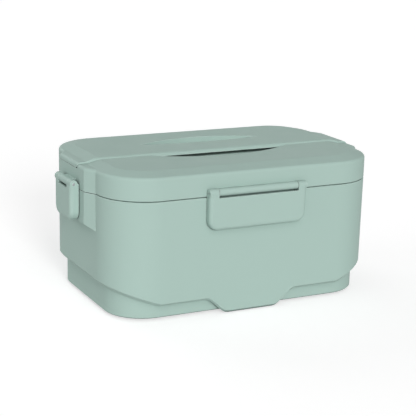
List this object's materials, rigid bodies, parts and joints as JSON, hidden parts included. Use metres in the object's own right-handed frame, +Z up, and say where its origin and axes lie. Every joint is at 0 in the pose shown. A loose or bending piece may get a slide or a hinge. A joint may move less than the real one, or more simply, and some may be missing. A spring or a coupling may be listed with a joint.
{
  "type": "electric lunch box",
  "caption": "Heated lunch box with a lift-off lid, a folding half-plate handle, four drop latches, a heated well and a steel food container.",
  "frame": {"origin": "centre of the footprint, on the surface the feet stand on", "axes": "+X along the length towards the mains inlet, +Y from the front latch to the back latch, +Z up"},
  "size_m": [0.2584, 0.1634, 0.1173],
  "materials": {
    "sage": "fine matt moulded, sage green",
    "pale": "smooth, off-white",
    "dark": "matt black",
    "ceramic": "matt ivory",
    "steel": "brushed stainless",
    "alloy": "as cast and machined",
    "brass": "plain",
    "silicone": "matt silicone",
    "lens": "clear red"
  },
  "bodies": {
    "base": {"body_shell": "sage", "base_cover": "sage", "base_feet": "silicone", "base_screws": "steel", "heated_well": "pale", "heating_plate": "alloy", "plate_seal": "silicone", "ptc_heaters": "alloy", "heater_straps": "steel", "strap_screws": "steel", "thermostat": "dark", "thermal_fuse": "ceramic", "power_inlet": "dark", "inlet_pins": "brass", "indicator_lens": "lens", "terminal_block": "ceramic"},
    "container": {"food_container": "steel"},
    "lid": {"lid_shell": "sage", "lid_liner": "pale", "lid_gasket": "silicone", "lid_screws": "steel", "steam_plug": "silicone", "latch_pins": "steel"},
    "handle": {"carry_handle": "sage", "handle_pins": "steel"},
    "latch_front": {"front_latch": "sage"},
    "latch_rear": {"rear_latch": "sage"},
    "latch_left": {"left_latch": "sage"},
    "latch_right": {"right_latch": "sage"}
  },
  "joints": [
    {"name": "lid_lift", "type": "slide", "parent": "base", "child": "lid", "axis": [0, 0, 1], "range_m": [0, 0.16]},
    {"name": "container_lift", "type": "slide", "parent": "base", "child": "container", "axis": [0, 0, 1], "range_m": [0, 0.08]},
    {"name": "handle_fold", "type": "hinge", "parent": "lid", "child": "handle", "pos_m": [0, -0.00875, 0.11405], "axis": [1, 0, 0], "range_deg": [0, 90]},
    {"name": "front_latch_swing", "type": "hinge", "parent": "lid", "child": "latch_front", "pos_m": [0, -0.0786, 0.0993], "axis": [-1, 0, 0], "range_deg": [0, 100]},
    {"name": "rear_latch_swing", "type": "hinge", "parent": "lid", "child": "latch_rear", "pos_m": [0, 0.0786, 0.0993], "axis": [1, 0, 0], "range_deg": [0, 100]},
    {"name": "left_latch_swing", "type": "hinge", "parent": "lid", "child": "latch_left", "pos_m": [-0.1261, 0, 0.0993], "axis": [0, 1, 0], "range_deg": [0, 100]},
    {"name": "right_latch_swing", "type": "hinge", "parent": "lid", "child": "latch_right", "pos_m": [0.1261, 0, 0.0993], "axis": [0, -1, 0], "range_deg": [0, 100]}
  ],
  "couplings": [
    {"joint": "container_lift", "follows": "lid_lift", "ratio": 0.5}
  ]
}
